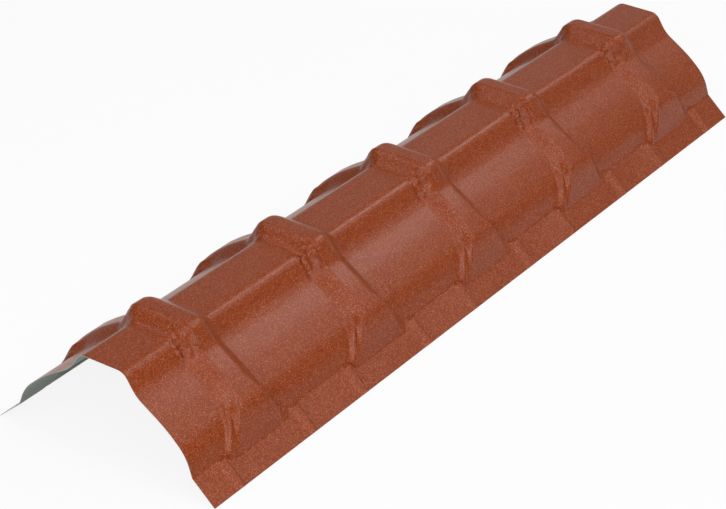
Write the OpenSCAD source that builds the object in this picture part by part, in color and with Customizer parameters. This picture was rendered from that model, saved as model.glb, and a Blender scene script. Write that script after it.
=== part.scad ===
// Pressed sheet-steel ridge cap with raised collars and flange ribs.
// X runs along the ridge, Y across it, Z up; the origin lies on the floor under the middle.

/* [Length] */
// distance from one collar to the next along the ridge
pitch = 220; // [180:5:400]
// how many collars are pressed along the length
repeats = 5; // [2:1:9]
// plain run from the near cut end to the first rib's sharp side
near_run = 53; // [45:1:60]

/* [Section] */
// thickness of the sheet
sheet_t = 0.5; // [0.4:0.05:1]
// half width of the flat crown
crown_half = 20; // [10:1:40]
// bend radius of the shoulder beside the crown
shoulder_r = 15; // [8:1:30]
// slope reached under the shoulder, in degrees
shoulder_turn = 56; // [40:1:70]
// straight run below the shoulder
upper_run = 10.8; // [4:0.1:20]
// radius of the hollow below the upper run
valley_r = 43; // [20:1:80]
// degrees by which the hollow flattens the slope
valley_turn = 24; // [5:1:35]
// straight run on the gentlest slope
middle_run = 18.5; // [5:0.5:40]
// radius of the belly's upper part
belly_r = 178; // [100:1:300]
// degrees turned over the belly's upper part
belly_turn = 12; // [4:1:20]
// radius of the belly's lower part
hip_r = 55; // [30:1:90]
// degrees turned over the belly's lower part
hip_turn = 27; // [10:1:35]
// straight wall above the flange
wall_run = 11.3; // [5:0.1:20]
// width of the flange from its inner corner to its edge
flange_run = 37.4; // [20:0.1:60]
// slope of the flange below level, in degrees
flange_slope = 41.3; // [20:0.1:60]

/* [Collars] */
// height of a collar above the crown and shoulders
crown_lift = 13; // [4:0.1:16]
// height of a collar above the sides
side_lift = 11.4; // [4:0.1:16]
// how far a collar pushes the shoulders outwards
corner_push = 8.5; // [0:0.5:12]
// how far a collar pushes the flange's inner corner outwards
toe_push = 9.5; // [0:0.5:15]
// start of the collar's near ramp, from the rib's sharp side
ramp_start = 23; // [5:1:30]
// length of the near ramp
ramp_run = 21; // [10:1:50]
// first of the ramp's lines at the flange, from the rib's sharp side
toe_ramp_start = 5; // [0:1:15]
// spread of the ramp's lines at the flange
toe_ramp_run = 73; // [40:1:90]
// end of the collar's level top at the crown
step_start = 65; // [50:1:90]
// length of the far step at the crown
step_run = 20; // [8:1:30]
// end of the collar's level top at the flange
toe_step_start = 100; // [60:1:100]
// length of the far step at the flange
toe_step_run = 5; // [2:1:20]
// distance round the section at which the collar's sides begin to splay
splay_start = 108; // [90:1:120]

/* [Ribs] */
// height of a flange rib
rib_h = 3; // [0.5:0.1:4]
// width of a rib along the ridge
rib_w = 16; // [8:1:25]
// far rib's sharp side, measured from the near rib's
far_rib = 123; // [110:1:140]
// length of a rib's rounded head
rib_head = 6; // [3:1:15]

/* [Hidden] */
paint = "#8f4a2e";

function arc_len(r, turn) = r * turn * PI / 180;

// half section from the crown's centre line outwards: [run, turn, cells]
section = [
    [crown_half, 0, 1],
    [arc_len(shoulder_r, shoulder_turn), shoulder_turn, 4],
    [upper_run, 0, 1],
    [arc_len(valley_r, valley_turn), -valley_turn, 3],
    [middle_run, 0, 1],
    [arc_len(belly_r, belly_turn), belly_turn, 2],
    [arc_len(hip_r, hip_turn), hip_turn, 4],
    [wall_run, 0, 1]
];
length = pitch * repeats;
function run_to(i) = i <= 0 ? 0 : section[i - 1][0] + run_to(i - 1);
corner_s = run_to(len(section));
edge_s = corner_s + flange_run;
// a collar stands square off the sheet down to this far round the hip, and from there its
// wall goes straight to the pushed-out corner
hip_share = 6;
lift_end = run_to(6) + hip_share;

// a point of the half section after a run s: [outwards, up, slope], from the crown's height
function walk(s, i = 0, y = 0, z = 0, a = 0) =
    i == len(section)
        ? [y + s * cos(flange_slope), z - s * sin(flange_slope), flange_slope]
        : let (run = section[i][0], turn = section[i][1], d = min(s, run))
          let (b = a + turn * d / run, r = turn == 0 ? 0 : run * 180 / (PI * turn))
          let (y1 = turn == 0 ? y + d * cos(a) : y + r * (sin(b) - sin(a)))
          let (z1 = turn == 0 ? z - d * sin(a) : z + r * (cos(b) - cos(a)))
          s <= run ? [y1, z1, b] : walk(s - run, i + 1, y1, z1, a + turn);

crown_z = sheet_t / 2 * cos(flange_slope) - walk(edge_s)[1];
flange_dir = [cos(flange_slope), -sin(flange_slope)];
flange_up = [sin(flange_slope), cos(flange_slope)];

function smooth(t) = let (c = min(max(t, 0), 1)) c * c * (3 - 2 * c);
function mix(a, b, t) = a + (b - a) * t;

// how far a collar moves the section at run s, outwards and up
function collar_push(s) =
    s <= lift_end
        ? let (a = walk(s)[2], under = (s - run_to(2)) / (run_to(4) - run_to(2)))
          let (top = [corner_push * min(s / crown_half, 1), crown_lift])
          mix(top, side_lift * [sin(a), cos(a)], smooth(under))
    : s <= corner_s ? mix(collar_push(lift_end), toe_push * flange_dir,
                          (s - lift_end) / (corner_s - lift_end))
    : toe_push * (edge_s - s) / flange_run * flange_dir;

// lines across the cap within a pitch: [place at the crown, place at the flange,
// collar share at the crown, collar share at the flange, rib share]
//
// A rib's places are parts of its width from its sharp side, and its shares are parts of its
// height. Its lines spread out towards the crown, lie a gap apart there and end at crown_end.
rib_places = [-1, -0.6, -0.2, 0.05];
rib_shares = [0, 0.5, 1, 0];
near_gap = 8;
far_gap = 17;
far_crown_end = 155;
function rib_lines(sharp_side, crown_end, gap) = [
    for (i = [0:3])
        [crown_end - (3 - i) * gap, sharp_side + rib_w * rib_places[i], 0, 0, rib_shares[i]]
];
function ramp_lines(n) = [
    for (i = [1:n])
        let (toe = toe_ramp_start + toe_ramp_run * (i - 1) / (n - 1))
        [ramp_start + ramp_run * i / n, toe, smooth(i / n), 1, 0]
];
function step_lines(n) = [
    for (i = [0:n])
        let (share = 1 - smooth(i / n))
        [step_start + step_run * i / n, toe_step_start + toe_step_run * i / n, share, share, 0]
];
pitch_lines = concat(
    rib_lines(0, ramp_start, near_gap),
    ramp_lines(4),
    step_lines(3),
    rib_lines(far_rib, far_crown_end, far_gap)
);
end_x = length - near_run;
all_lines = concat(
    [[-near_run, -near_run, 0, 0, 0]],
    [
        for (k = [0:repeats - 1]) for (l = pitch_lines)
            [l[0] + k * pitch, l[1] + k * pitch, l[2], l[3], l[4]]
    ],
    [[end_x, end_x, 0, 0, 0]]
);

// runs at which the half section has points
half_runs = concat(
    [0],
    [
        for (i = [0:len(section) - 1]) for (k = [1:section[i][2]])
            run_to(i) + section[i][0] * k / section[i][2]
    ],
    [corner_s + rib_head, edge_s]
);
last = len(half_runs) - 1;
cross_runs = [for (j = [-last:last]) sign(j) * half_runs[abs(j)]];

// a point on the middle of the sheet, on line l at the signed run w (positive towards -Y)
function mid_point(l, w) =
    let (s = abs(w), p = walk(s), t = smooth((s - splay_start) / (corner_s - splay_start)))
    let (push = collar_push(s) * mix(l[2], l[3], t))
    let (rib = rib_h * l[4] * smooth((s - corner_s) / rib_head) * flange_up)
    let (y = p[0] + push[0] + rib[0], z = crown_z + p[1] + push[1] + rib[1])
    [mix(l[0], l[1], t) + near_run - length / 2, -sign(w) * y, z];

grid = [for (l = all_lines) [for (w = cross_runs) mid_point(l, w)]];
rows = len(grid);
cols = len(cross_runs);

function unit(v) = v / norm(v);
function normal(i, j) =
    let (along = grid[min(i + 1, rows - 1)][j] - grid[max(i - 1, 0)][j])
    let (across = grid[i][max(j - 1, 0)] - grid[i][min(j + 1, cols - 1)])
    unit(cross(along, across));
// the sheet's outer (side 1) or inner (side -1) face, square to the ridge at the cut ends
function skin(side) = [
    for (i = [0:rows - 1]) for (j = [0:cols - 1])
        let (n = normal(i, j), cut = i == 0 || i == rows - 1)
        grid[i][j] + side * sheet_t / 2 * (cut ? unit([0, n[1], n[2]]) : n)
];

// the two triangles of a cell, given its corners clockwise as seen from outside
function cell(a, b, c, d) = [[a, b, c], [a, c, d]];
function join(lists) = [for (l = lists) for (x = l) x];

module ridge_cap() {
    under = rows * cols;
    far_row = (rows - 1) * cols;
    faces = concat(
        join([
            for (i = [0:rows - 2]) for (j = [0:cols - 2])
                let (a = i * cols + j) cell(a, a + cols, a + cols + 1, a + 1)
        ]),
        join([
            for (i = [0:rows - 2]) for (j = [0:cols - 2])
                let (a = under + i * cols + j) cell(a + 1, a + cols + 1, a + cols, a)
        ]),
        join([
            for (i = [0:rows - 2])
                let (a = i * cols) cell(a, under + a, under + a + cols, a + cols)
        ]),
        join([
            for (i = [0:rows - 2])
                let (a = (i + 1) * cols - 1) cell(a, a + cols, under + a + cols, under + a)
        ]),
        join([for (a = [0:cols - 2]) cell(a, a + 1, under + a + 1, under + a)]),
        join([for (a = [far_row:far_row + cols - 2]) cell(a, under + a, under + a + 1, a + 1)])
    );
    color(paint) polyhedron(points = concat(skin(1), skin(-1)), faces = faces);
}

ridge_cap();
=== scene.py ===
import math
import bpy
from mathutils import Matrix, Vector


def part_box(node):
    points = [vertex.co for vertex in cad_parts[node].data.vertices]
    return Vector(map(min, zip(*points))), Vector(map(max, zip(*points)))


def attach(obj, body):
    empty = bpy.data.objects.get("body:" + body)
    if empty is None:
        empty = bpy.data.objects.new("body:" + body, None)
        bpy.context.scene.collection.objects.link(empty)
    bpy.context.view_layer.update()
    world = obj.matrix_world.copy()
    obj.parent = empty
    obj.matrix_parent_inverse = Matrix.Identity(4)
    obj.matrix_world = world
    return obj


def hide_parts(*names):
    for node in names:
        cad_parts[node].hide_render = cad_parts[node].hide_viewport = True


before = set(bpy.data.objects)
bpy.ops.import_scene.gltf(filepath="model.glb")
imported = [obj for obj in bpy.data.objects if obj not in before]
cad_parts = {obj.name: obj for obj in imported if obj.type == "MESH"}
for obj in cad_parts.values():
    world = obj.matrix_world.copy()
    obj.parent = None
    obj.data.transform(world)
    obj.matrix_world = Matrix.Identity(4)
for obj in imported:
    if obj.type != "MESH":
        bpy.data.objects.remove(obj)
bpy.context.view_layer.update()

from types import SimpleNamespace

import bpy
from bpy.props import (
    FloatProperty,
    FloatVectorProperty,
    IntProperty,
    PointerProperty,
)
from mathutils import Matrix, Vector

bl_info = {
    "name": "Pressed Ridge Cap",
    "version": (1, 0, 0),
    "blender": (4, 5, 0),
    "location": "View3D > Sidebar > Ridge Cap",
    "description": "Presses a painted sheet-steel ridge cap with collars, crimps and ribs",
    "category": "Object",
}

MM = 0.001
PIECE = "ridge_cap"
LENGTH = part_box(PIECE)[1][0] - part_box(PIECE)[0][0]
COLLARS = 5

# cells from one line of points to the next, over each part of the half section: crown,
# shoulder, upper run, hollow, middle run, belly, hip, wall, and the flange's head and rest
SECTION_CELLS = (3, 8, 5, 7, 4, 8, 9, 7, 5, 3)
FLANGE_HEAD = 9 * MM
# and along a pitch: near rib, its crease, first fold, ramp, top, far step, far rib, its crease
PITCH_CELLS = (6, 3, 9, 30, 5, 17, 6, 5)
# a collar stands square off the sheet down to this run, and from there its wall goes straight
# to the fold
LIFT_END = 126 * MM
# the near rib's sharp side, along a pitch
NEAR_RIB = -1.5 * MM
# points closer than this are welded into one
WELD = 0.002 * MM
SHARP_ANGLE = math.radians(50)


def length(name, description, default):
    return FloatProperty(name=name, description=description, default=default, unit="LENGTH",
                         precision=4)


def angle(name, description, degrees):
    return FloatProperty(name=name, description=description, default=math.radians(degrees),
                         subtype="ANGLE")


def colour(name, description, default):
    return FloatVectorProperty(name=name, description=description, default=default, size=3,
                               subtype="COLOR", min=0.0, max=1.0)


class RidgeCapSection(bpy.types.PropertyGroup):
    """Sizes of the plain folded section"""
    sheet: length("Sheet Thickness", "Thickness of the steel sheet", 0.5 * MM)
    crown_half: length("Crown Half Width", "Half width of the flat crown", 20 * MM)
    shoulder_radius: length("Shoulder Radius", "Bend radius beside the crown", 15 * MM)
    shoulder_turn: angle("Shoulder Turn", "Slope reached under the shoulder", 56)
    upper_run: length("Upper Run", "Straight run below the shoulder", 10.8 * MM)
    hollow_radius: length("Hollow Radius", "Radius of the hollow in the side", 43 * MM)
    hollow_turn: angle("Hollow Turn", "Turn by which the hollow flattens the side", 24)
    middle_run: length("Middle Run", "Straight run on the gentlest slope", 18.5 * MM)
    belly_radius: length("Belly Radius", "Radius of the belly's upper part", 178 * MM)
    belly_turn: angle("Belly Turn", "Turn over the belly's upper part", 12)
    hip_radius: length("Hip Radius", "Radius of the belly's lower part", 55 * MM)
    hip_turn: angle("Hip Turn", "Turn over the belly's lower part", 27)
    wall_run: length("Wall Run", "Straight wall above the flange", 11.3 * MM)
    flange_run: length("Flange Width", "Width of the flange below its fold", 37.4 * MM)
    flange_slope: angle("Flange Slope", "Slope of the flange below level", 41.3)


class RidgeCapPressing(bpy.types.PropertyGroup):
    """Sizes of the collars, ribs and crimps pressed into the sheet"""
    collars: IntProperty(name="Collars", description="Collars along the cap", default=COLLARS,
                         min=1, max=9)
    pitch: length("Pitch", "Distance from one collar to the next", LENGTH / COLLARS)
    near_run: length("Near Run", "Plain run from the near end to the first rib", 53 * MM)
    crown_lift: length("Crown Lift", "Height of a collar over the crown", 13 * MM)
    side_lift: length("Side Lift", "Height of a collar over the sides", 11.4 * MM)
    corner_push: length("Corner Push", "How far a collar pushes the shoulders out", 8.5 * MM)
    toe_push: length("Toe Push", "How far a collar pushes the fold outwards", 9.5 * MM)
    ramp_start: length("Ramp Start", "Start of a collar's near ramp", 23 * MM)
    ramp_run: length("Ramp Length", "Length of a collar's near ramp", 21 * MM)
    step_start: length("Step Start", "Start of a collar's far step at the crown", 63 * MM)
    step_run: length("Step Length", "Length of a collar's far step at the crown", 20 * MM)
    far_rib: length("Far Rib", "From the near rib to the far rib", 123 * MM)
    rib_height: length("Rib Height", "Height of a flange rib", 3.8 * MM)
    crimp_depth: length("Crimp Depth", "Depth of the crimps on the shoulders", 2 * MM)
    leg_height: length("Leg Height", "Height of the two folds low on a collar", 1.8 * MM)
    waviness: length("Waviness", "Unevenness of the pressed sheet", 0.15 * MM)
    seed: IntProperty(name="Seed", description="Changes how collars differ", default=7, min=0)


class RidgeCapFinish(bpy.types.PropertyGroup):
    """Colours and grain of the painted sheet"""
    coat: colour("Coat", "Terracotta colour of the upper side", (0.245, 0.035, 0.001))
    pore: colour("Pores", "Darker colour between the coat's grains", (0.16, 0.02, 0.001))
    # the paler grains' colour is partly their own tone and partly a painted glint: its whitish
    # cast stands in for light sparkling on the grains
    flake_and_glint: colour("Flakes And Glints", "Paler colour of the coat's raised grains", (0.4, 0.15, 0.075))
    primer: colour("Primer", "Grey-green colour of the underside", (0.13, 0.165, 0.13))
    steel: colour("Cut Edge", "Zinc grey of the bare cut edges", (0.38, 0.38, 0.36))
    roughness: FloatProperty(name="Coat Roughness", description="Roughness of the coat",
                             default=0.3, min=0.0, max=1.0, subtype="FACTOR")
    gloss: FloatProperty(name="Coat Gloss", description="Strength of the coat's gloss",
                         default=0.21, min=0.0, max=1.0, subtype="FACTOR")
    plain_share: FloatProperty(name="Plain Share",
                               description="Share of the grains between pore and coat colour",
                               default=0.75, min=0.0, max=1.0, subtype="FACTOR")
    grain: length("Grain Size", "Size of the coat's grains", 0.63 * MM)
    grain_height: length("Grain Height", "Height of the coat's grains", 0.043 * MM)


class RidgeCapStage(bpy.types.PropertyGroup):
    """Floor, camera and lights"""
    floor: colour("Floor", "Colour of the floor", (0.8, 0.8, 0.8))
    glow: FloatProperty(name="Floor Glow", description="Part of the floor seen as plain white",
                        default=0.88, min=0.0, max=1.0, subtype="FACTOR")
    azimuth: angle("Azimuth", "Where the camera stands round the cap", 303.71)
    elevation: angle("Elevation", "How high the camera stands", 29.57)
    roll: angle("Roll", "Tilt of the camera about its own axis", 1.656)
    distance: length("Distance", "From the camera to the point it looks at", 2.898)
    focal: FloatProperty(name="Focal Length", description="Focal length on a 36 mm sensor",
                         default=124.85, unit="CAMERA")
    lamps: FloatProperty(name="Lamps", description="Share of the lamps' full power",
                         default=1.0, min=0.0)
    world: FloatProperty(name="Surroundings", description="Light from all round",
                         default=0.05, min=0.0)
    backdrop: FloatProperty(name="Backdrop", description="How pale the surroundings look",
                            default=0.4, min=0.0, max=1.0)


class Field:
    """A number at every point of a node tree, so that formulas can be written as such."""

    def __init__(self, tree, socket):
        self.tree = tree
        self.socket = socket

    def __add__(self, other):
        return self.tree.math("ADD", self, other)

    def __radd__(self, other):
        return self.tree.math("ADD", other, self)

    def __sub__(self, other):
        return self.tree.math("SUBTRACT", self, other)

    def __rsub__(self, other):
        return self.tree.math("SUBTRACT", other, self)

    def __mul__(self, other):
        return self.tree.math("MULTIPLY", self, other)

    def __rmul__(self, other):
        return self.tree.math("MULTIPLY", other, self)

    def __truediv__(self, other):
        return self.tree.math("DIVIDE", self, other)

    def __neg__(self):
        return self.tree.math("MULTIPLY", self, -1.0)


class Tree:
    """A geometry node tree and the short calls that fill it."""

    def __init__(self, name):
        self.group = bpy.data.node_groups.new(name, "GeometryNodeTree")
        self.group.is_modifier = True
        self.frame = None
        self.count = 0
        self.given = None

    def part(self, label):
        """Starts a labelled frame, into which the next nodes go."""
        self.frame = self.group.nodes.new("NodeFrame")
        self.frame.label = label

    def node(self, kind, **settings):
        node = self.group.nodes.new(kind)
        node.location = (220 * (self.count // 12), -170 * (self.count % 12))
        node.parent = self.frame
        self.count += 1
        for key, value in settings.items():
            setattr(node, key, value)
        return node

    def plug(self, value, socket):
        if isinstance(value, Field):
            value = value.socket
        if isinstance(value, bpy.types.NodeSocket):
            self.group.links.new(value, socket)
        else:
            socket.default_value = value

    def math(self, operation, *values):
        node = self.node("ShaderNodeMath", operation=operation)
        for value, socket in zip(values, node.inputs):
            self.plug(value, socket)
        return Field(self, node.outputs[0])

    def clamp(self, value, low, high):
        node = self.node("ShaderNodeClamp")
        for name, number in (("Value", value), ("Min", low), ("Max", high)):
            self.plug(number, node.inputs[name])
        return Field(self, node.outputs[0])

    def span(self, value, start, end, low=0.0, high=1.0, kind="SMOOTHSTEP"):
        """low before start, high after end, and a smooth change between them."""
        node = self.node("ShaderNodeMapRange", interpolation_type=kind)
        names = ("Value", "From Min", "From Max", "To Min", "To Max")
        for name, number in zip(names, (value, start, end, low, high)):
            self.plug(number, node.inputs[name])
        return Field(self, node.outputs[0])

    def fall(self, value, start, end, kind="SMOOTHSTEP"):
        """1 before start, 0 after end, and a smooth change between them."""
        return self.span(value, start, end, 1.0, 0.0, kind)

    def mix(self, start, end, share):
        return start + (end - start) * share

    def ease(self, share):
        """Rounds off both ends of a share that runs from 0 to 1."""
        return share * share * (3 - 2 * share)

    def slope(self, value, start, end, soft, end_soft=None):
        """A straight slope from 0 at start to 1 at end, with softened ends."""
        share = self.math("SMOOTH_MAX", (value - start) / (end - start), 0.0, soft)
        return self.math("SMOOTH_MIN", share, 1.0, soft if end_soft is None else end_soft)

    def bump(self, value, half_width):
        """A rounded hump of height 1 about 0."""
        return self.ease(self.clamp(1 - self.math("ABSOLUTE", value) / half_width, 0.0, 1.0))

    def noise(self, vector, scale, detail=2.0):
        """Noise from about -0.5 to 0.5."""
        node = self.node("ShaderNodeTexNoise")
        self.plug(vector, node.inputs["Vector"])
        self.plug(scale, node.inputs["Scale"])
        self.plug(detail, node.inputs["Detail"])
        return Field(self, node.outputs[0]) - 0.5

    def random(self, number, seed, low, high):
        node = self.node("FunctionNodeRandomValue", data_type="FLOAT")
        floats = [socket for socket in node.inputs if socket.type == "VALUE"]
        self.plug(low, floats[0])
        self.plug(high, floats[1])
        self.plug(number, node.inputs["ID"])
        self.plug(seed, node.inputs["Seed"])
        outs = [socket for socket in node.outputs if socket.type == "VALUE"]
        return Field(self, outs[0])

    def size(self, name):
        return Field(self, self.given.outputs[name])


def add_inputs(tree, group):
    """Adds one named input for every size in a property group."""
    kinds = {int: "NodeSocketInt", float: "NodeSocketFloat"}
    for name, value in size_values(group).values():
        socket = tree.group.interface.new_socket(name, in_out="INPUT",
                                                 socket_type=kinds[type(value)])
        socket.default_value = value


def size_values(group):
    """The group's sizes: {key: (shown name, value)}."""
    found = {}
    for key, prop in group.bl_rna.properties.items():
        if key not in ("name", "rna_type"):
            found[key] = (prop.name, getattr(group, key))
    return found


def chain(tree, count, cells, widths, start):
    """Turns a count of cells into a distance, through parts of different widths."""
    place, first = start, 0
    for number, width in zip(cells, widths):
        place = place + tree.clamp(count - first, 0.0, number) * (width / number)
        first += number
    return place


def section_parts(tree):
    """The half section as (length, turn) from the crown's middle to the flange's fold."""
    size = tree.size
    parts = [(size("Crown Half Width"), None)]
    for radius, turn, run, way in (("Shoulder Radius", "Shoulder Turn", "Upper Run", 1),
                                   ("Hollow Radius", "Hollow Turn", "Middle Run", -1),
                                   ("Belly Radius", "Belly Turn", None, 1),
                                   ("Hip Radius", "Hip Turn", "Wall Run", 1)):
        parts.append((size(radius) * size(turn), size(turn) * way))
        if run:
            parts.append((size(run), None))
    return parts


def slope_at(tree, run, parts):
    """Slope of the section after a run."""
    total, first = 0.0, 0.0
    for width, turn in parts:
        if turn is not None:
            total = tree.clamp((run - first) / width, 0.0, 1.0) * turn + total
        first = width + first
    return total


def walk(tree, run, parts):
    """Place of the section after a run: (outwards, up), from the crown's middle."""
    out, up, first, lean = 0.0, 0.0, 0.0, 0.0
    for width, turn in parts:
        gone = tree.clamp(run - first, 0.0, width)
        if turn is None:
            out = gone * tree.math("COSINE", lean) + out
            up = up - gone * tree.math("SINE", lean)
        else:
            radius = width / turn
            now = gone / radius + lean
            out = (tree.math("SINE", now) - tree.math("SINE", lean)) * radius + out
            up = (tree.math("COSINE", now) - tree.math("COSINE", lean)) * radius + up
            lean = turn + lean
        first = width + first
    past = tree.math("MAXIMUM", run - first, 0.0)
    flange = tree.size("Flange Slope")
    out = past * tree.math("COSINE", flange) + out
    up = up - past * tree.math("SINE", flange)
    return out, up


def lay_out(tree):
    """The flat grid, and where each of its points lies in the sheet."""
    size = tree.size
    tree.part("Grid of points")
    lines = sum(PITCH_CELLS) + 1
    rows = size("Collars") * lines + 2
    columns = 2 * sum(SECTION_CELLS) + 1
    grid = tree.node("GeometryNodeMeshGrid")
    tree.plug(rows - 1, grid.inputs["Size X"])
    tree.plug(float(columns - 1), grid.inputs["Size Y"])
    tree.plug(rows, grid.inputs["Vertices X"])
    tree.plug(columns, grid.inputs["Vertices Y"])
    flat = tree.node("ShaderNodeSeparateXYZ")
    tree.plug(tree.node("GeometryNodeInputPosition").outputs[0], flat.inputs[0])
    row = Field(tree, flat.outputs[0]) + (rows - 1) / 2
    across = Field(tree, flat.outputs[1])

    tree.part("Run round the section")
    parts = section_parts(tree)
    widths = [part[0] for part in parts] + [FLANGE_HEAD, size("Flange Width") - FLANGE_HEAD]
    run = chain(tree, tree.math("ABSOLUTE", across), SECTION_CELLS, widths, 0.0)
    fold = 0.0
    for part in parts:
        fold = part[0] + fold

    tree.part("Place along the cap")
    body_row = row - 1
    number = tree.clamp(tree.math("FLOOR", body_row / lines), 0.0, size("Collars") - 1)
    line = body_row - number * lines
    ramp, ramp_run = size("Ramp Start"), size("Ramp Length")
    step, step_run, far = size("Step Start"), size("Step Length"), size("Far Rib")
    # where the parts of a pitch begin and end, on the crown and at the flange
    crown_places = (-4 * MM, 8 * MM, ramp - 8 * MM, ramp + 2 * MM, ramp + ramp_run + 12 * MM,
                    step - 2 * MM, step + step_run + 4 * MM, far - 3 * MM, far + 12 * MM)
    toe_places = (-18 * MM, -5 * MM, NEAR_RIB, 8 * MM, 52 * MM, 90 * MM, 107 * MM,
                  far - 4.5 * MM, far + 1.5 * MM)

    def places(knots):
        steps = [b - a for a, b in zip(knots, knots[1:])]
        return chain(tree, line, PITCH_CELLS, steps, knots[0])

    lean_start = 104 * MM
    along = tree.mix(places(crown_places), places(toe_places), tree.span(run, lean_start, fold))
    at_far_end = tree.math("GREATER_THAN", row, rows - 1.5)
    cut = tree.math("LESS_THAN", row, 0.5) + at_far_end
    last = size("Pitch") - size("Near Run")
    along = tree.mix(along, tree.mix(-size("Near Run"), last, at_far_end), cut)
    turn = tree.math("MAXIMUM", number, at_far_end * (size("Collars") - 1))
    return grid.outputs["Mesh"], SimpleNamespace(
        parts=parts, run=run, fold=fold, edge=fold + size("Flange Width"), along=along,
        number=number, turn=turn, cut=cut, side=tree.math("SIGN", across))


def fold_lines(tree, at):
    """Where the two folds low on a collar lie along the cap: (lower, upper)."""
    lower_toe, lower_top = at.fold + 1 * MM, 114 * MM
    reach, bend, toe_place = 32 * MM, 10 * MM, 2.5 * MM
    climb = tree.span(at.run, lower_toe, lower_top, kind="LINEAR")
    lower = climb * reach - climb * climb * bend - toe_place
    upper_start, upper_toe_place = 98 * MM, 15 * MM
    ramp_end = tree.size("Ramp Start") + tree.size("Ramp Length")
    upper = tree.mix(ramp_end + 1 * MM, upper_toe_place,
                     tree.span(at.run, upper_start, at.fold, kind="LINEAR"))
    return lower, upper


def near_rise(tree, at):
    """Share of a collar's height reached on its near side.

    It climbs one plain ramp on the crown, and two steps at the folds lower down."""
    tree.part("Near ramp")
    size, run, along = tree.size, at.run, at.along
    ramp = tree.ease(tree.clamp((along - size("Ramp Start")) / size("Ramp Length"), 0.0, 1.0))
    lower, upper = fold_lines(tree, at)
    lower_foot, lower_top = lower - 0.5 * MM, lower + 4 * MM
    lower_rise = tree.slope(along, lower_foot, lower_top, soft=0.25, end_soft=0.4)
    upper_foot = tree.math("MAXIMUM", lower_top, upper - 6 * MM)
    upper_rise = tree.slope(along, upper_foot, upper, soft=0.4)
    even_run, low_run = 132 * MM, 150 * MM
    lower_part = tree.span(run, even_run, low_run, low=0.5, high=0.68)
    stepped = tree.mix(upper_rise, lower_rise, lower_part)
    ramp_only, folds_only = 112 * MM, 130 * MM
    return tree.mix(ramp, stepped, tree.span(run, ramp_only, folds_only))


def far_fall(tree, at):
    """Share of a collar's height kept past its far step.

    Towards the flange the step lies further along and is shorter."""
    tree.part("Far step")
    size, run = tree.size, at.run
    crown_edge, side_top = 30 * MM, 60 * MM
    on_side = tree.span(run, crown_edge, side_top)
    top_start, top_shift, top_splay = 100 * MM, 5 * MM, 13.5 * MM
    down = tree.span(run, top_start, at.fold, kind="LINEAR")
    top = size("Step Start") + on_side * top_shift + (down + down * down) * top_splay
    foot_start, foot_shift, foot_splay = 112 * MM, 1 * MM, 12 * MM
    foot_down = tree.span(run, foot_start, at.fold, kind="LINEAR")
    foot = size("Step Start") + size("Step Length") + on_side * foot_shift
    foot = foot + foot_down * foot_down * foot_splay
    shoulder, shoulder_width, shoulder_reach = 40 * MM, 16 * MM, 4 * MM
    foot = foot + tree.bump(run - shoulder, shoulder_width) * shoulder_reach
    soft_end, sharp_start = 100 * MM, 118 * MM
    top_soft = tree.mix(0.4, 0.1, tree.span(run, soft_end, sharp_start))
    return 1 - tree.slope(at.along, top, foot, soft=top_soft, end_soft=0.12)


def collar_share(tree, at):
    """How far a point is lifted onto a collar: 0 on the plain sheet, 1 on the collar."""
    share = near_rise(tree, at) * far_fall(tree, at)
    tree.part("Collar's toe")
    near_end, far_start, far_end, toe_height = 5 * MM, 101 * MM, 105 * MM, 11 * MM
    toe = tree.slope(at.along, NEAR_RIB, near_end, soft=0.35)
    toe = toe * tree.slope(at.along, far_end, far_start, soft=0.8)
    return tree.mix(share, toe, tree.span(at.run, at.fold - toe_height, at.fold))


def collar_push(tree, at, share):
    """How far a collar moves a point: (outwards, up)."""
    tree.part("Collars")
    size, run = tree.size, at.run
    lift, crown_lift, toe = size("Side Lift"), size("Crown Lift"), size("Toe Push")
    tilt = slope_at(tree, tree.math("MINIMUM", run, LIFT_END), at.parts)
    corner_out = size("Corner Push") * tree.clamp(run / size("Crown Half Width"), 0.0, 1.0)
    bend_start, bend_end = 34 * MM, 60 * MM
    past_bend = tree.span(run, bend_start, bend_end)
    out = tree.mix(corner_out * share, lift * tree.math("SINE", tilt), past_bend)
    up = tree.mix(crown_lift, lift * tree.math("COSINE", tilt), past_bend)
    wall = tree.span(run, LIFT_END, at.fold, kind="LINEAR")
    flange = size("Flange Slope")
    out = tree.mix(out, toe * tree.math("COSINE", flange), wall)
    up = tree.mix(up, -toe * tree.math("SINE", flange), wall)
    fade = tree.fall(run, at.fold, at.edge, kind="LINEAR") * share
    return out * fade, up * fade


def differences(tree, at):
    """What is a collar's own: its crimps' place, depth and spacing, and its noise."""
    tree.part("How collars differ")
    who = at.number * 2 + at.side
    seed = tree.size("Seed")
    shift = tree.random(who, seed, low=-2.5 * MM, high=2.5 * MM)
    vigour = tree.random(who, seed + 1, low=0.75, high=1.2)
    # the far side, where side is 1, is less deeply crimped than the near one
    vigour = vigour * (0.7 - at.side * 0.3)
    spread = tree.random(who, seed + 2, low=0.92, high=1.1)
    seat = tree.node("ShaderNodeCombineXYZ")
    tree.plug(at.along + at.number, seat.inputs[0])
    tree.plug(at.run * at.side, seat.inputs[1])
    return SimpleNamespace(shift=shift, vigour=vigour, spread=spread, seat=seat.outputs[0])


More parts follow.
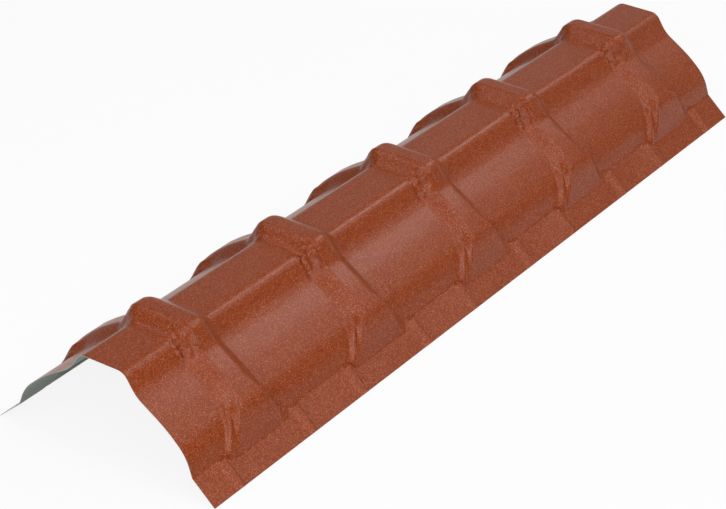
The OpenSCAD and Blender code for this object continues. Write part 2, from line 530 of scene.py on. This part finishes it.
def crimps(tree, at, own):
    """Uneven crimps across the shoulders, on the near ramp."""
    tree.part("Crimps on the shoulders")
    along, run = at.along, at.run
    spacing, lead, sway = 9 * MM, 2 * MM, 0.5
    ramp_start = tree.size("Ramp Start")
    ramp_end = ramp_start + tree.size("Ramp Length")
    wobble = tree.noise(own.seat, scale=70.0)
    turns = (along - ramp_start + lead - own.shift) / (spacing * own.spread) + wobble * sway
    wave = tree.math("COSINE", turns * math.tau)
    dents = tree.noise(own.seat, scale=150.0, detail=1.0)
    first, first_full = ramp_start - 5 * MM, ramp_start + 1 * MM
    last_full, last = ramp_end - 8 * MM, ramp_end + 5 * MM
    zone = tree.span(along, first, first_full) * tree.fall(along, last_full, last)
    inner, inner_full, outer_full, outer = 21 * MM, 28 * MM, 48 * MM, 56 * MM
    zone = zone * tree.span(run, inner, inner_full) * tree.fall(run, outer_full, outer)
    wobble_depth, dent_depth = 0.8, 5
    depth = (wave * wave * wave + wobble * wobble_depth + dents * dent_depth) * zone
    return depth * tree.size("Crimp Depth") * own.vigour


def low_folds(tree, at, own):
    """The two folds low on a collar's near side."""
    tree.part("Two folds low on a collar")
    along, run = at.along, at.run
    lower_line, upper_line = fold_lines(tree, at)
    half_width, lower_off, upper_off = 5 * MM, 3 * MM, 1 * MM
    lower = tree.bump(along - lower_line - lower_off, half_width)
    start, full = 108 * MM, 126 * MM
    lower = lower * tree.span(run, start, full)
    lower = lower * tree.fall(run, at.fold - 2 * MM, at.fold + 3 * MM)
    upper = tree.bump(along - upper_line + upper_off, half_width)
    start, full, last_full, end = 104 * MM, 122 * MM, 141 * MM, 146 * MM
    upper = upper * tree.span(run, start, full) * tree.fall(run, last_full, end)
    return (lower + upper) * tree.size("Leg Height") * own.vigour


def flange_ribs(tree, at):
    """Two ribs on each flange: a slow rise, a sharp side and a rounded head."""
    tree.part("Flange ribs")
    width, flat_top, sharp_side = 15 * MM, 7.5 * MM, 3.2 * MM
    ribs = 0.0
    for sharp in (NEAR_RIB, tree.size("Far Rib")):
        rise = tree.slope(at.along, sharp - width, sharp - flat_top, soft=0.3)
        ribs = rise * tree.fall(at.along, sharp - sharp_side, sharp) + ribs
    head_start, head_end = at.fold - 0.5 * MM, at.fold + 3 * MM
    ribs = ribs * tree.slope(at.run, head_start, head_end, soft=0.2, end_soft=0.5)
    return ribs * tree.size("Rib Height")


def relief(tree, at):
    """Crimps, folds, ribs and unevenness, as a height square off the sheet."""
    own = differences(tree, at)
    raised = crimps(tree, at, own) + low_folds(tree, at, own) + flange_ribs(tree, at)
    tree.part("Unevenness")
    return raised + tree.noise(own.seat, scale=14.0) * tree.size("Waviness") * 2


def press_surface(tree, grid, at):
    """Moves the grid's points to the middle of the pressed sheet."""
    size = tree.size
    share = collar_share(tree, at)
    push_out, push_up = collar_push(tree, at, share)
    proud = relief(tree, at)
    tree.part("Pressed surface")
    out, up = walk(tree, at.run, at.parts)
    face = slope_at(tree, at.run, at.parts)
    flange = size("Flange Slope")
    crease = 1 * MM
    face = tree.mix(face, flange, tree.span(at.run, at.fold - crease, at.fold, kind="LINEAR"))
    out = out + push_out + proud * tree.math("SINE", face)
    up = up + push_up + proud * tree.math("COSINE", face)
    edge_up = walk(tree, at.edge, at.parts)[1]
    up = up - edge_up + size("Sheet Thickness") / 2 * tree.math("COSINE", flange)
    start = size("Near Run") - size("Pitch") * size("Collars") / 2
    place = tree.node("ShaderNodeCombineXYZ")
    tree.plug(at.along + at.turn * size("Pitch") + start, place.inputs[0])
    tree.plug(at.side * out, place.inputs[1])
    tree.plug(up, place.inputs[2])
    surface = tree.node("GeometryNodeSetPosition")
    tree.plug(grid, surface.inputs["Geometry"])
    tree.plug(place.outputs[0], surface.inputs["Position"])
    return surface.outputs[0]


def square_off(tree, surface, cut):
    """The surface with the way its thickness goes, which is square to the ridge at its ends."""
    tree.part("Way of the thickness")
    level = tree.node("ShaderNodeCombineXYZ")
    tree.plug(1 - Field(tree, cut), level.inputs[0])
    tree.plug(1.0, level.inputs[1])
    tree.plug(1.0, level.inputs[2])
    bare = tree.node("ShaderNodeVectorMath", operation="MULTIPLY")
    tree.plug(tree.node("GeometryNodeInputNormal").outputs[0], bare.inputs[0])
    tree.plug(level.outputs[0], bare.inputs[1])
    unit = tree.node("ShaderNodeVectorMath", operation="NORMALIZE")
    tree.plug(bare.outputs[0], unit.inputs[0])
    square = tree.node("GeometryNodeCaptureAttribute", domain="POINT")
    square.capture_items.new("VECTOR", "Square")
    tree.plug(surface, square.inputs["Geometry"])
    tree.plug(unit.outputs[0], square.inputs["Square"])
    return square.outputs["Geometry"], square.outputs["Square"]


def two_faces(tree, surface, way):
    """The sheet as a closed solid, with selections of its inside and its rim."""
    tree.part("Sheet with two faces")

    def moved(source, distance, chosen=None):
        shift_by = tree.node("ShaderNodeVectorMath", operation="SCALE")
        tree.plug(way, shift_by.inputs[0])
        tree.plug(distance, shift_by.inputs["Scale"])
        node = tree.node("GeometryNodeSetPosition")
        tree.plug(source, node.inputs["Geometry"])
        tree.plug(shift_by.outputs[0], node.inputs["Offset"])
        if chosen is not None:
            tree.plug(chosen, node.inputs["Selection"])
        return node.outputs[0]

    thick = tree.size("Sheet Thickness")
    upper = moved(surface, thick / 2)
    neighbours = tree.node("GeometryNodeInputMeshEdgeNeighbors")
    open_edge = tree.node("FunctionNodeCompare", data_type="INT", operation="EQUAL")
    tree.plug(neighbours.outputs[0], open_edge.inputs[2])
    tree.plug(1, open_edge.inputs[3])
    rim = tree.node("GeometryNodeExtrudeMesh", mode="EDGES")
    tree.plug(upper, rim.inputs["Mesh"])
    tree.plug(open_edge.outputs[0], rim.inputs["Selection"])
    tree.plug(0.0, rim.inputs["Offset Scale"])
    walled = moved(rim.outputs["Mesh"], -thick, rim.outputs["Top"])
    lower = tree.node("GeometryNodeFlipFaces")
    tree.plug(moved(surface, -thick / 2), lower.inputs[0])
    inside = tree.node("GeometryNodeCaptureAttribute", domain="FACE")
    inside.capture_items.new("BOOLEAN", "Inside")
    tree.plug(lower.outputs[0], inside.inputs["Geometry"])
    tree.plug(True, inside.inputs["Inside"])
    both = tree.node("GeometryNodeJoinGeometry")
    tree.plug(inside.outputs["Geometry"], both.inputs[0])
    tree.plug(walled, both.inputs[0])
    weld = tree.node("GeometryNodeMergeByDistance")
    tree.plug(both.outputs[0], weld.inputs["Geometry"])
    tree.plug(WELD, weld.inputs["Distance"])
    smooth = tree.node("GeometryNodeSetShadeSmooth")
    tree.plug(weld.outputs[0], smooth.inputs["Geometry"])
    return smooth.outputs[0], inside.outputs["Inside"], rim.outputs["Side"]


def build_tree(name, materials):
    """The node tree that presses the whole cap out of one flat grid of points."""
    tree = Tree(name)
    faces = tree.group.interface
    faces.new_socket("Geometry", in_out="INPUT", socket_type="NodeSocketGeometry")
    faces.new_socket("Geometry", in_out="OUTPUT", socket_type="NodeSocketGeometry")
    add_inputs(tree, bpy.context.scene.ridge_cap_section)
    add_inputs(tree, bpy.context.scene.ridge_cap_pressing)
    tree.given = tree.group.nodes.new("NodeGroupInput")

    grid, at = lay_out(tree)
    keep = tree.node("GeometryNodeCaptureAttribute", domain="POINT")
    keep.capture_items.new("FLOAT", "Cut")
    tree.plug(grid, keep.inputs["Geometry"])
    tree.plug(at.cut, keep.inputs["Cut"])
    surface = press_surface(tree, keep.outputs["Geometry"], at)
    surface, way = square_off(tree, surface, keep.outputs["Cut"])
    sheet, inside, rim = two_faces(tree, surface, way)

    tree.part("Finish")
    real = tree.node("GeometryNodeRealizeInstances")
    tree.plug(sheet, real.inputs[0])
    last_out = real.outputs[0]
    for material, chosen in zip(materials, (None, inside, rim)):
        painted = tree.node("GeometryNodeSetMaterial")
        tree.plug(last_out, painted.inputs["Geometry"])
        painted.inputs["Material"].default_value = material
        if chosen is not None:
            tree.plug(chosen, painted.inputs["Selection"])
        last_out = painted.outputs[0]
    result = tree.node("NodeGroupOutput")
    tree.plug(last_out, result.inputs[0])
    return tree.group


def new_material(name):
    """An empty material with its shader and output, ready for more nodes."""
    material = bpy.data.materials.new(name)
    material.use_nodes = True
    return material, material.node_tree, material.node_tree.nodes["Principled BSDF"]


def coat_material(finish):
    """Grained terracotta coil coat with darker pores and paler grains, whose whitish tone is
    partly a painted glint.
    """
    material, tree, shader = new_material("terracotta_coat")
    nodes, links = tree.nodes, tree.links
    place = nodes.new("ShaderNodeTexCoord")
    flecks = nodes.new("ShaderNodeTexVoronoi")
    flecks.inputs["Scale"].default_value = 1 / finish.grain
    links.new(place.outputs["Object"], flecks.inputs["Vector"])
    chance = nodes.new("ShaderNodeSeparateColor")
    links.new(flecks.outputs["Color"], chance.inputs[0])
    tones = nodes.new("ShaderNodeValToRGB")
    # the pale end of the ramp is partly a painted glint on the grains
    pore, flake_and_glint = tones.color_ramp.elements
    pore.color = (*finish.pore, 1)
    flake_and_glint.color = (*finish.flake_and_glint, 1)
    tones.color_ramp.elements.new(finish.plain_share).color = (*finish.coat, 1)
    links.new(chance.outputs[0], tones.inputs["Fac"])
    links.new(tones.outputs["Color"], shader.inputs["Base Color"])
    shader.inputs["Roughness"].default_value = finish.roughness
    shader.inputs["Specular IOR Level"].default_value = finish.gloss
    bump = nodes.new("ShaderNodeBump")
    bump.inputs["Distance"].default_value = finish.grain_height
    links.new(chance.outputs[1], bump.inputs["Height"])
    links.new(bump.outputs["Normal"], shader.inputs["Normal"])
    return material


def primer_material(finish):
    """Grey-green back coat of the underside."""
    material, tree, shader = new_material("primer_back")
    nodes, links = tree.nodes, tree.links
    place = nodes.new("ShaderNodeTexCoord")
    cloud_size, spread = 40 * MM, 0.1
    cloud = nodes.new("ShaderNodeTexNoise")
    cloud.inputs["Scale"].default_value = 1 / cloud_size
    links.new(place.outputs["Object"], cloud.inputs["Vector"])
    tones = nodes.new("ShaderNodeValToRGB")
    for end, share in zip(tones.color_ramp.elements, (1 - spread, 1 + spread)):
        end.color = (*[part * share for part in finish.primer], 1)
    links.new(cloud.outputs["Fac"], tones.inputs["Fac"])
    links.new(tones.outputs["Color"], shader.inputs["Base Color"])
    shader.inputs["Roughness"].default_value = 0.5
    return material


def steel_material(finish):
    """Bare zinc and steel of the sheared edges."""
    material, _, shader = new_material("sheared_edge")
    shader.inputs["Base Color"].default_value = (*finish.steel, 1)
    shader.inputs["Metallic"].default_value = 1.0
    shader.inputs["Roughness"].default_value = 0.45
    return material


class RIDGECAP_OT_press(bpy.types.Operator):
    """Press the ridge cap out of one sheet"""
    bl_idname = "ridge_cap.press"
    bl_label = "Press Ridge Cap"

    def execute(self, context):
        scene = context.scene
        finish = scene.ridge_cap_finish
        materials = (coat_material(finish), primer_material(finish), steel_material(finish))
        group = build_tree("Ridge Cap", materials)
        mesh = bpy.data.meshes.new(PIECE + "_blank")
        blank = bpy.data.objects.new(PIECE + "_blank", mesh)
        scene.collection.objects.link(blank)
        press = blank.modifiers.new("Press", "NODES")
        press.node_group = group
        sizes = {}
        for settings in (scene.ridge_cap_section, scene.ridge_cap_pressing):
            sizes.update(size_values(settings).values())
        for item in group.interface.items_tree:
            if item.item_type == "SOCKET" and item.in_out == "INPUT" and item.name in sizes:
                press[item.identifier] = sizes[item.name]
        depsgraph = context.evaluated_depsgraph_get()
        made = bpy.data.meshes.new_from_object(blank.evaluated_get(depsgraph))
        if not made.polygons:
            raise RuntimeError("the ridge cap's tree made no faces")
        bpy.data.objects.remove(blank)
        made.name = PIECE
        made.materials.pop(index=0)
        made.set_sharp_from_angle(angle=SHARP_ANGLE)
        cap = bpy.data.objects.new("ridge_cap_sheet", made)
        scene.collection.objects.link(cap)
        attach(cap, "root")
        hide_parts(PIECE)
        return {"FINISHED"}


def look_from(azimuth, elevation, roll, distance, target):
    """The world matrix of a camera that looks at a target."""
    back = Vector((math.sin(azimuth) * math.cos(elevation),
                   -math.cos(azimuth) * math.cos(elevation), math.sin(elevation)))
    turn = back.to_track_quat("Z", "Y").to_matrix().to_4x4()
    return Matrix.Translation(target + back * distance) @ turn @ Matrix.Rotation(roll, 4, "Z")


# soft round lamps: name, azimuth from +X and elevation in degrees, width in metres, watts
LAMPS = (
    ("near_low_lamp", 195, 7, 1.3, 35.0),
    ("near_high_lamp", 190, 40, 1.7, 23.0),
    ("fill_lamp", 213, 32, 1.2, 27.0),
    ("left_lamp", 235, 35, 2.0, 25.0),
    ("front_lamp", 250, 62, 2.9, 33.0),
    ("front_right_lamp", 275, 55, 2.2, 28.0),
    ("right_lamp", 312, 40, 1.4, 8.0),
    ("far_right_lamp", 326, 37, 1.1, 6.0),
    ("far_high_lamp", 341, 49, 1.0, 13.0),
    ("far_low_lamp", 352, 41, 1.0, 13.0),
    ("far_small_lamp", 345, 43, 0.7, 5.0),
    ("top_lamp", 100, 67, 2.6, 25.0),
    ("top_near_lamp", 127, 53, 1.2, 7.0),
    ("back_lamp", 34, 30, 2.1, 3.5),
)
LAMP_DISTANCE = 4.0
CAP_MIDDLE = Vector((0, 0, 0.06))
# what the camera looks at, and how far the floor reaches each way
LOOK_AT = Vector((-0.077 * LENGTH, 0.0, 0.0322))
FLOOR_REACH = 12.0


def add_lamp(name, azimuth, elevation, width, watts):
    """A soft round lamp that faces the cap's middle."""
    lamp = bpy.data.lights.new(name, "AREA")
    lamp.shape = "DISK"
    lamp.size = width
    lamp.energy = watts
    holder = bpy.data.objects.new(name, lamp)
    turn, rise = math.radians(azimuth), math.radians(elevation)
    way = Vector((math.cos(turn) * math.cos(rise), math.sin(turn) * math.cos(rise),
                  math.sin(rise)))
    holder.location = CAP_MIDDLE + way * LAMP_DISTANCE
    holder.rotation_euler = way.to_track_quat("Z", "Y").to_euler()
    bpy.context.scene.collection.objects.link(holder)


def shown_white(tree):
    """1 for what the camera, a mirror or glass sees, and 0 for what gives light."""
    path = tree.nodes.new("ShaderNodeLightPath")
    either = tree.nodes.new("ShaderNodeMath")
    either.operation = "MAXIMUM"
    tree.links.new(path.outputs["Is Camera Ray"], either.inputs[0])
    tree.links.new(path.outputs["Is Glossy Ray"], either.inputs[1])
    both = tree.nodes.new("ShaderNodeMath")
    both.operation = "MAXIMUM"
    tree.links.new(either.outputs[0], both.inputs[0])
    tree.links.new(path.outputs["Is Transmission Ray"], both.inputs[1])
    return both.outputs[0]


class RIDGECAP_OT_stage(bpy.types.Operator):
    """Set the floor, the lamps, the surroundings and the camera"""
    bl_idname = "ridge_cap.set_stage"
    bl_label = "Set Stage"

    def execute(self, context):
        scene = context.scene
        stage = scene.ridge_cap_stage
        mesh = bpy.data.meshes.new("floor")
        corners = [(x * FLOOR_REACH, y * FLOOR_REACH, 0)
                   for x, y in ((-1, -1), (1, -1), (1, 1), (-1, 1))]
        mesh.from_pydata(corners, [], [(0, 1, 2, 3)])
        floor = bpy.data.objects.new("floor", mesh)
        scene.collection.objects.link(floor)
        material, tree, shader = new_material("pale_floor")
        shader.inputs["Base Color"].default_value = (*stage.floor, 1)
        shader.inputs["Roughness"].default_value = 0.9
        glow = tree.nodes.new("ShaderNodeEmission")
        glow.inputs["Strength"].default_value = 1.0
        blend = tree.nodes.new("ShaderNodeMixShader")
        portion = tree.nodes.new("ShaderNodeMath")
        portion.operation = "MULTIPLY"
        portion.inputs[1].default_value = stage.glow
        tree.links.new(shown_white(tree), portion.inputs[0])
        tree.links.new(portion.outputs[0], blend.inputs[0])
        tree.links.new(shader.outputs[0], blend.inputs[1])
        tree.links.new(glow.outputs[0], blend.inputs[2])
        tree.links.new(blend.outputs[0], tree.nodes["Material Output"].inputs["Surface"])
        mesh.materials.append(material)

        world = bpy.data.worlds.new("studio")
        scene.world = world
        world.use_nodes = True
        tree = world.node_tree
        sky = tree.nodes["Background"]
        sky.inputs["Color"].default_value = (1, 1, 1, 1)
        strength = tree.nodes.new("ShaderNodeMapRange")
        tree.links.new(shown_white(tree), strength.inputs["Value"])
        strength.inputs["To Min"].default_value = stage.world
        strength.inputs["To Max"].default_value = stage.backdrop
        tree.links.new(strength.outputs[0], sky.inputs["Strength"])

        for name, azimuth, elevation, width, watts in LAMPS:
            add_lamp(name, azimuth, elevation, width, watts * stage.lamps)

        view = bpy.data.cameras.new("view")
        view.sensor_width = 36.0
        view.lens = stage.focal
        view.clip_end = 60.0
        camera = bpy.data.objects.new("view", view)
        camera.matrix_world = look_from(stage.azimuth, stage.elevation, stage.roll,
                                        stage.distance, LOOK_AT)
        scene.collection.objects.link(camera)
        scene.camera = camera
        scene.view_settings.view_transform = "Standard"
        return {"FINISHED"}


GROUPS = (
    ("ridge_cap_section", RidgeCapSection, "Section"),
    ("ridge_cap_pressing", RidgeCapPressing, "Pressing"),
    ("ridge_cap_finish", RidgeCapFinish, "Finish"),
    ("ridge_cap_stage", RidgeCapStage, "Stage"),
)
OPERATORS = (RIDGECAP_OT_press, RIDGECAP_OT_stage)


class RIDGECAP_PT_sidebar(bpy.types.Panel):
    """Sizes, colours and buttons of the ridge cap"""
    bl_label = "Ridge Cap"
    bl_idname = "RIDGECAP_PT_sidebar"
    bl_space_type = "VIEW_3D"
    bl_region_type = "UI"
    bl_category = "Ridge Cap"

    def draw(self, context):
        for operator in OPERATORS:
            self.layout.operator(operator.bl_idname)
        for name, _, label in GROUPS:
            box = self.layout.box()
            box.label(text=label)
            settings = getattr(context.scene, name)
            for key in size_values(settings):
                box.prop(settings, key)


def register():
    for name, group, _ in GROUPS:
        bpy.utils.register_class(group)
        setattr(bpy.types.Scene, name, PointerProperty(type=group))
    for operator in OPERATORS:
        bpy.utils.register_class(operator)
    bpy.utils.register_class(RIDGECAP_PT_sidebar)


def unregister():
    bpy.utils.unregister_class(RIDGECAP_PT_sidebar)
    for operator in reversed(OPERATORS):
        bpy.utils.unregister_class(operator)
    for name, group, _ in reversed(GROUPS):
        delattr(bpy.types.Scene, name)
        bpy.utils.unregister_class(group)


def main():
    register()
    bpy.ops.ridge_cap.press()
    bpy.ops.ridge_cap.set_stage()


if __name__ == "__main__":
    main()
